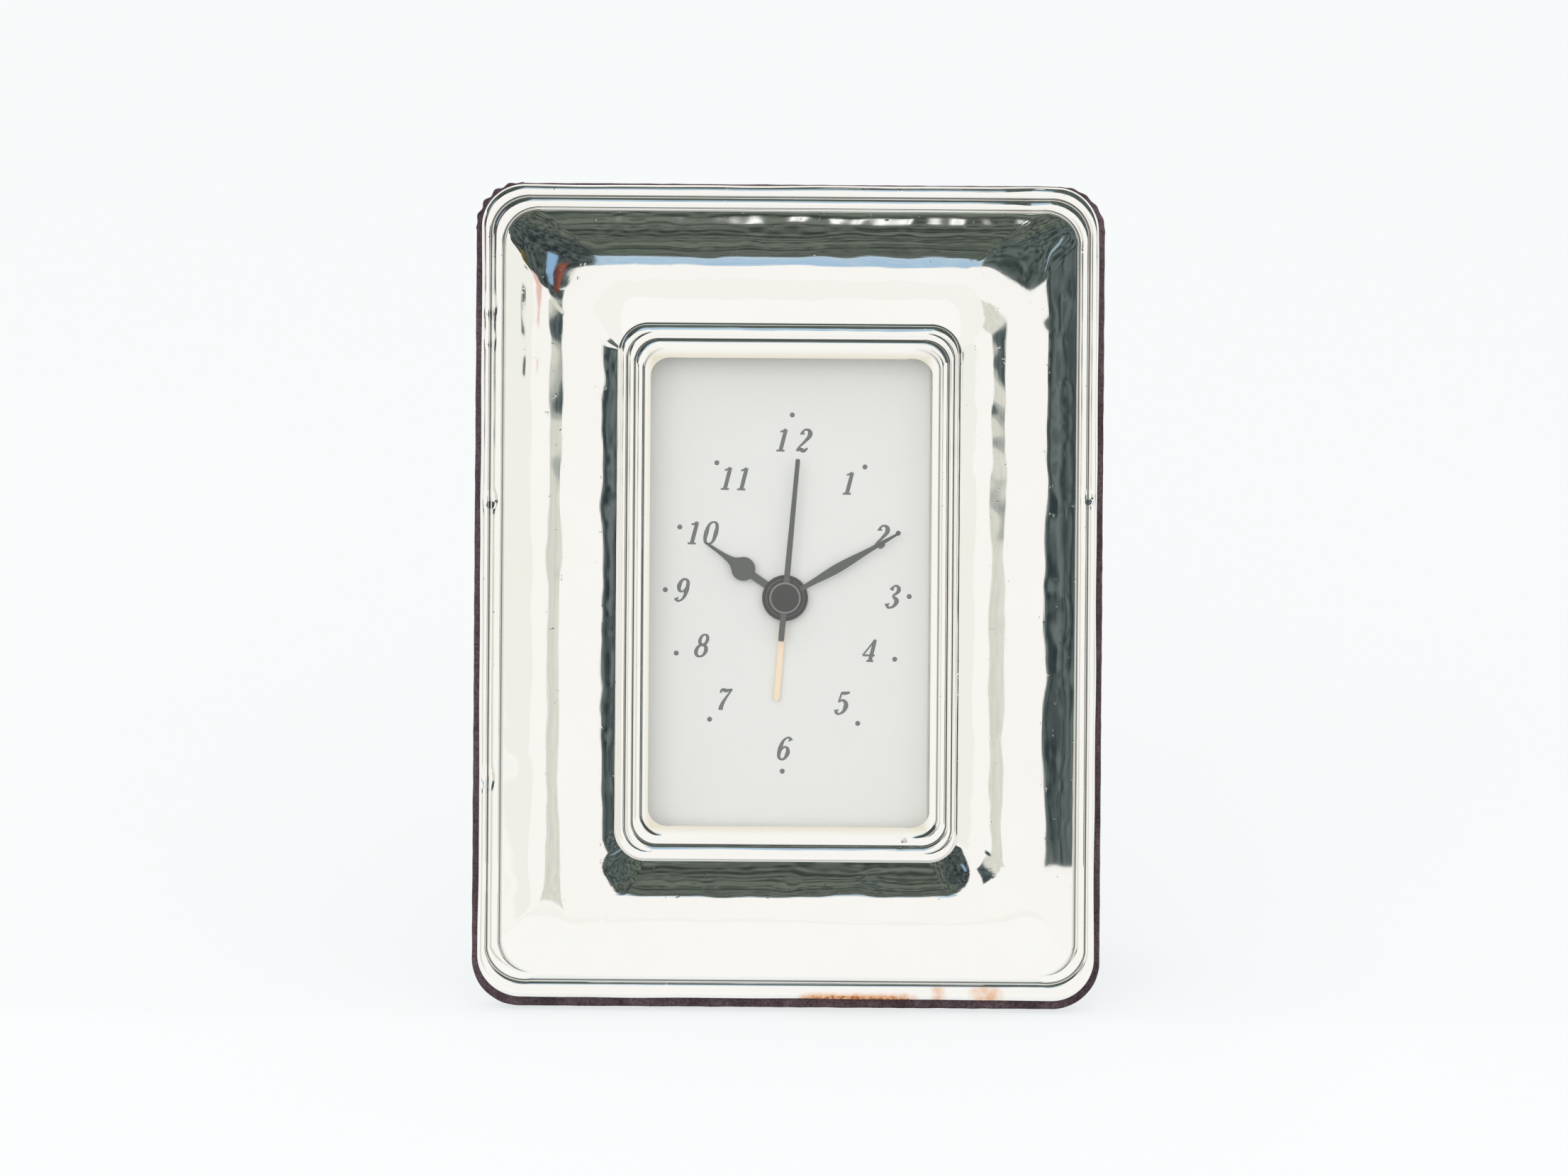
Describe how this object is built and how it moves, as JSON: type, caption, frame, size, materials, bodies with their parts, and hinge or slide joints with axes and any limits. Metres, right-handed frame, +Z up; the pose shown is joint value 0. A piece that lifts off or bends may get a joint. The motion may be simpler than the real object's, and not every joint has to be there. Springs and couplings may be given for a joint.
{
  "type": "photo frame clock",
  "caption": "Table alarm clock in a silver picture frame, with a tall dial under a lens, a velvet back and a folding easel strut.",
  "frame": {"origin": "middle of the flat strip of velvet that the frame stands on", "axes": "+Z up, -Y towards the viewer of the dial, +X to the viewer's right"},
  "size_m": [0.1, 0.0465, 0.129],
  "materials": {
    "silver": "polished, softly dented by hand",
    "wood": "plain",
    "velvet": "short pile",
    "card": "plain",
    "steel": "plain",
    "clear_lens": "clear",
    "dial_print": "satin, printed",
    "white_plastic": "moulded",
    "black_plastic": "moulded",
    "brass": "turned",
    "copper_wire": "enamelled",
    "black_hands": "satin black",
    "gold_hand": "satin gold",
    "magnet": "sintered",
    "green_board": "lacquered",
    "crystal_can": "bright",
    "knob_plastic": "fluted",
    "red_switch": "moulded",
    "battery_sleeve": "plain sleeve"
  },
  "bodies": {
    "frame": {"silver_front": "silver", "core_moulding": "wood", "back_board": "wood", "velvet_cover": "velvet", "frame_screws": "steel", "lens": "clear_lens", "dial_spacer": "white_plastic", "dial": "dial_print", "axle_nut": "brass", "movement_front_plate": "black_plastic", "train_plate": "white_plastic", "train_screws": "steel", "rear_cover": "black_plastic", "case_screws": "steel", "stator": "steel", "coil_core": "steel", "coil_bobbin": "white_plastic", "coil_winding": "copper_wire", "circuit_board": "green_board", "quartz_crystal": "crystal_can", "chip": "black_plastic", "buzzer": "steel", "alarm_contact_spring": "steel", "battery": "battery_sleeve", "battery_contact_positive": "steel", "battery_contact_negative": "steel", "hinge_fixed_leaf": "steel", "hinge_pin": "steel", "hinge_tacks": "steel"},
    "rotor_set": {"rotor": "magnet"},
    "fifth_set": {"fifth_wheel": "white_plastic"},
    "seconds_set": {"seconds_wheel": "white_plastic", "second_hand": "black_hands"},
    "third_set": {"third_wheel": "white_plastic"},
    "centre_set": {"centre_wheel": "white_plastic"},
    "minute_set": {"cannon_pinion": "white_plastic", "minute_hand": "black_hands"},
    "motion_set": {"motion_wheel": "white_plastic", "time_knob": "knob_plastic"},
    "hour_set": {"hour_wheel": "white_plastic", "hour_hand": "black_hands"},
    "alarm_set": {"alarm_wheel": "white_plastic", "alarm_hand": "gold_hand"},
    "alarm_setting_set": {"alarm_setting_pinion": "white_plastic", "alarm_knob": "knob_plastic"},
    "strut_set": {"hinge_moving_leaf": "steel", "strut_core": "card", "strut_cover": "velvet", "strut_rivets": "steel"},
    "switch_set": {"alarm_switch": "red_switch"},
    "door_set": {"battery_door": "black_plastic"}
  },
  "joints": [
    {"name": "rotor_turn", "type": "hinge", "parent": "frame", "child": "rotor_set", "pos_m": [-0.01236, 0.0166, 0.07345], "axis": [0, 0.9781, -0.2079], "continuous": true},
    {"name": "fifth_turn", "type": "hinge", "parent": "frame", "child": "fifth_set", "pos_m": [-0.00612, 0.01585, 0.06993], "axis": [0, 0.9781, -0.2079], "continuous": true},
    {"name": "seconds_turn", "type": "hinge", "parent": "frame", "child": "seconds_set", "pos_m": [-0.0005, 0.01445, 0.06338], "axis": [0, 0.9781, -0.2079], "continuous": true},
    {"name": "third_turn", "type": "hinge", "parent": "frame", "child": "third_set", "pos_m": [0.00529, 0.01589, 0.07012], "axis": [0, 0.9781, -0.2079], "continuous": true},
    {"name": "centre_turn", "type": "hinge", "parent": "frame", "child": "centre_set", "pos_m": [-0.0005, 0.01445, 0.06338], "axis": [0, 0.9781, -0.2079], "continuous": true},
    {"name": "minute_turn", "type": "hinge", "parent": "frame", "child": "minute_set", "pos_m": [-0.0005, 0.01445, 0.06338], "axis": [0, 0.9781, -0.2079], "continuous": true},
    {"name": "motion_turn", "type": "hinge", "parent": "frame", "child": "motion_set", "pos_m": [0.00852, 0.01377, 0.06016], "axis": [0, 0.9781, -0.2079], "continuous": true},
    {"name": "hour_turn", "type": "hinge", "parent": "frame", "child": "hour_set", "pos_m": [-0.0005, 0.01445, 0.06338], "axis": [0, 0.9781, -0.2079], "continuous": true},
    {"name": "alarm_knob_turn", "type": "hinge", "parent": "frame", "child": "alarm_setting_set", "pos_m": [-0.00952, 0.01377, 0.06016], "axis": [0, 0.9781, -0.2079], "continuous": true},
    {"name": "alarm_turn", "type": "hinge", "parent": "frame", "child": "alarm_set", "pos_m": [-0.0005, 0.01445, 0.06338], "axis": [0, 0.9781, -0.2079], "continuous": true},
    {"name": "strut_fold", "type": "hinge", "parent": "frame", "child": "strut_set", "pos_m": [0.0385, 0.02274, 0.09515], "axis": [-1, 0, 0], "range_deg": [0, 20]},
    {"name": "switch_slide", "type": "slide", "parent": "frame", "child": "switch_set", "axis": [1, 0, 0], "range_m": [0, 0.003]},
    {"name": "door_slide", "type": "slide", "parent": "frame", "child": "door_set", "axis": [0, -0.2079, -0.9781], "range_m": [0, 0.016]}
  ],
  "couplings": [
    {"joint": "fifth_turn", "follows": "rotor_turn", "ratio": -0.2},
    {"joint": "seconds_turn", "follows": "rotor_turn", "ratio": 0.033333},
    {"joint": "third_turn", "follows": "rotor_turn", "ratio": -0.0041667},
    {"joint": "centre_turn", "follows": "rotor_turn", "ratio": 0.00055556},
    {"joint": "motion_turn", "follows": "minute_turn", "ratio": -0.33333},
    {"joint": "hour_turn", "follows": "minute_turn", "ratio": 0.083333},
    {"joint": "alarm_turn", "follows": "alarm_knob_turn", "ratio": -0.33333}
  ]
}
